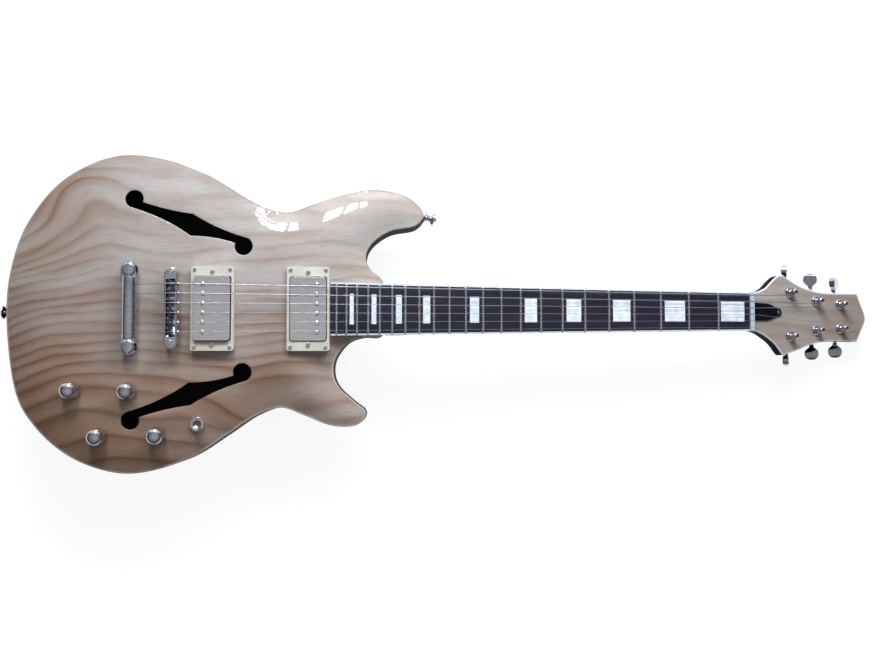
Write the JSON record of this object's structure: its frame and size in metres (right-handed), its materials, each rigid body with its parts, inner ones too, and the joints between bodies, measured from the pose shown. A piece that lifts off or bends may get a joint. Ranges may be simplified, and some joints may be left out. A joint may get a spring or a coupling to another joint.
{
  "type": "electric guitar",
  "caption": "Semi-hollow double-cutaway electric guitar with carved ash top, f-holes, two covered pickups, fixed bridge and turning controls and tuners.",
  "frame": {"origin": "on the flat back of the body, under the bridge line and on the neck centre line", "axes": "+X along the strings to the headstock, +Y to the bass side, +Z out of the top"},
  "size_m": [0.9635, 0.34, 0.1053],
  "materials": {
    "black_lacquer": "gloss black lacquer over wood",
    "ash": "gloss clear lacquer over ash",
    "ivory_binding": "polished celluloid strip",
    "rosewood": "oiled rosewood",
    "pearl": "mother-of-pearl",
    "fret_wire": "polished nickel silver",
    "bone": "polished bone",
    "steel": "plated steel",
    "black_plastic": "gloss black",
    "chrome": "chrome plate",
    "cream_plastic": "moulded cream plastic",
    "nickel": "satin nickel plate",
    "coil": "wound wire and black bobbins",
    "string_steel": "nickel-wound and plain steel"
  },
  "bodies": {
    "root": {"body_back": "black_lacquer", "body_top": "ash", "body_binding": "ivory_binding", "control_cover": "black_plastic", "neck": "black_lacquer", "headstock_face": "ash", "headstock_binding": "ivory_binding", "fretboard": "rosewood", "fretboard_binding": "ivory_binding", "inlays": "pearl", "frets": "fret_wire", "nut": "bone", "truss_rod": "steel", "truss_rod_cover": "black_plastic", "bridge_frame": "chrome", "saddles": "chrome", "saddle_screws": "chrome", "bridge_posts": "chrome", "tailpiece": "chrome", "tailpiece_studs": "chrome", "stud_bushings": "steel", "bridge_pickup_ring": "cream_plastic", "bridge_pickup_springs": "steel", "neck_pickup_ring": "cream_plastic", "neck_pickup_springs": "steel", "height_screws": "chrome", "pots": "steel", "toggle_switch": "chrome", "output_jack": "chrome", "jack_plate": "chrome", "strap_buttons": "chrome", "tuner_housings": "chrome", "tuner_bushings": "chrome", "strings": "string_steel", "wood_screws": "chrome"},
    "neck_volume_knob": {"neck_volume_knob": "chrome"},
    "bridge_volume_knob": {"bridge_volume_knob": "chrome"},
    "neck_tone_knob": {"neck_tone_knob": "chrome"},
    "bridge_tone_knob": {"bridge_tone_knob": "chrome"},
    "tuner_key_1": {"tuner_key_1": "chrome"},
    "tuner_key_2": {"tuner_key_2": "chrome"},
    "tuner_key_3": {"tuner_key_3": "chrome"},
    "tuner_key_4": {"tuner_key_4": "chrome"},
    "tuner_key_5": {"tuner_key_5": "chrome"},
    "tuner_key_6": {"tuner_key_6": "chrome"},
    "tuner_post_1": {"tuner_post_1": "chrome"},
    "tuner_post_2": {"tuner_post_2": "chrome"},
    "tuner_post_3": {"tuner_post_3": "chrome"},
    "tuner_post_4": {"tuner_post_4": "chrome"},
    "tuner_post_5": {"tuner_post_5": "chrome"},
    "tuner_post_6": {"tuner_post_6": "chrome"},
    "toggle": {"toggle_lever": "chrome", "toggle_tip": "cream_plastic"},
    "bridge_pickup": {"bridge_pickup_cover": "nickel", "bridge_pickup_coils": "coil", "bridge_pickup_poles": "nickel"},
    "neck_pickup": {"neck_pickup_cover": "nickel", "neck_pickup_coils": "coil", "neck_pickup_poles": "nickel"}
  },
  "joints": [
    {"name": "key_turn_1", "type": "hinge", "parent": "root", "child": "tuner_key_1", "pos_m": [0.68009, 0.0225, -0.0075], "axis": [0, 1, 0], "continuous": true},
    {"name": "post_turn_1", "type": "hinge", "parent": "root", "child": "tuner_post_1", "pos_m": [0.67732, 0.0225, 0.01247], "axis": [0.2672, 0, 0.9636], "continuous": true},
    {"name": "key_turn_2", "type": "hinge", "parent": "root", "child": "tuner_key_2", "pos_m": [0.71334, 0.0137, -0.01672], "axis": [0, 1, 0], "continuous": true},
    {"name": "post_turn_2", "type": "hinge", "parent": "root", "child": "tuner_post_2", "pos_m": [0.71057, 0.0137, 0.00325], "axis": [0.2672, 0, 0.9636], "continuous": true},
    {"name": "key_turn_3", "type": "hinge", "parent": "root", "child": "tuner_key_3", "pos_m": [0.74417, 0.0106, -0.02527], "axis": [0, 1, 0], "continuous": true},
    {"name": "post_turn_3", "type": "hinge", "parent": "root", "child": "tuner_post_3", "pos_m": [0.74141, 0.0106, -0.0053], "axis": [0.2672, 0, 0.9636], "continuous": true},
    {"name": "key_turn_4", "type": "hinge", "parent": "root", "child": "tuner_key_4", "pos_m": [0.68009, -0.0265, -0.0075], "axis": [0, -1, 0], "continuous": true},
    {"name": "post_turn_4", "type": "hinge", "parent": "root", "child": "tuner_post_4", "pos_m": [0.67732, -0.0265, 0.01247], "axis": [0.2672, 0, 0.9636], "continuous": true},
    {"name": "key_turn_5", "type": "hinge", "parent": "root", "child": "tuner_key_5", "pos_m": [0.71334, -0.0193, -0.01672], "axis": [0, -1, 0], "continuous": true},
    {"name": "post_turn_5", "type": "hinge", "parent": "root", "child": "tuner_post_5", "pos_m": [0.71057, -0.0193, 0.00325], "axis": [0.2672, 0, 0.9636], "continuous": true},
    {"name": "key_turn_6", "type": "hinge", "parent": "root", "child": "tuner_key_6", "pos_m": [0.74417, -0.0168, -0.02527], "axis": [0, -1, 0], "continuous": true},
    {"name": "post_turn_6", "type": "hinge", "parent": "root", "child": "tuner_post_6", "pos_m": [0.74141, -0.0168, -0.0053], "axis": [0.2672, 0, 0.9636], "continuous": true},
    {"name": "neck_volume_turn", "type": "hinge", "parent": "root", "child": "neck_volume_knob", "pos_m": [-0.042, -0.087, 0.06], "axis": [0, 0, 1], "range_deg": [-270, 30]},
    {"name": "bridge_volume_turn", "type": "hinge", "parent": "root", "child": "bridge_volume_knob", "pos_m": [-0.101, -0.086, 0.06], "axis": [0, 0, 1], "range_deg": [-270, 30]},
    {"name": "neck_tone_turn", "type": "hinge", "parent": "root", "child": "neck_tone_knob", "pos_m": [-0.0115, -0.1335, 0.06], "axis": [0, 0, 1], "range_deg": [-240, 60]},
    {"name": "bridge_tone_turn", "type": "hinge", "parent": "root", "child": "bridge_tone_knob", "pos_m": [-0.073, -0.1345, 0.06], "axis": [0, 0, 1], "range_deg": [-240, 60]},
    {"name": "selector", "type": "hinge", "parent": "root", "child": "toggle", "pos_m": [0.03, -0.1215, 0.04412], "axis": [1, 0, 0], "range_deg": [-26, 0]},
    {"name": "bridge_pickup_height", "type": "slide", "parent": "root", "child": "bridge_pickup", "axis": [0, 0, 1], "range_m": [-0.003, 0.001], "deforming": ["bridge_pickup_springs"]},
    {"name": "neck_pickup_height", "type": "slide", "parent": "root", "child": "neck_pickup", "axis": [0, 0, 1], "range_m": [-0.003, 0.001], "deforming": ["neck_pickup_springs"]}
  ],
  "couplings": [
    {"joint": "post_turn_1", "follows": "key_turn_1", "ratio": 0.066667},
    {"joint": "post_turn_2", "follows": "key_turn_2", "ratio": 0.066667},
    {"joint": "post_turn_3", "follows": "key_turn_3", "ratio": 0.066667},
    {"joint": "post_turn_4", "follows": "key_turn_4", "ratio": 0.066667},
    {"joint": "post_turn_5", "follows": "key_turn_5", "ratio": 0.066667},
    {"joint": "post_turn_6", "follows": "key_turn_6", "ratio": 0.066667}
  ]
}
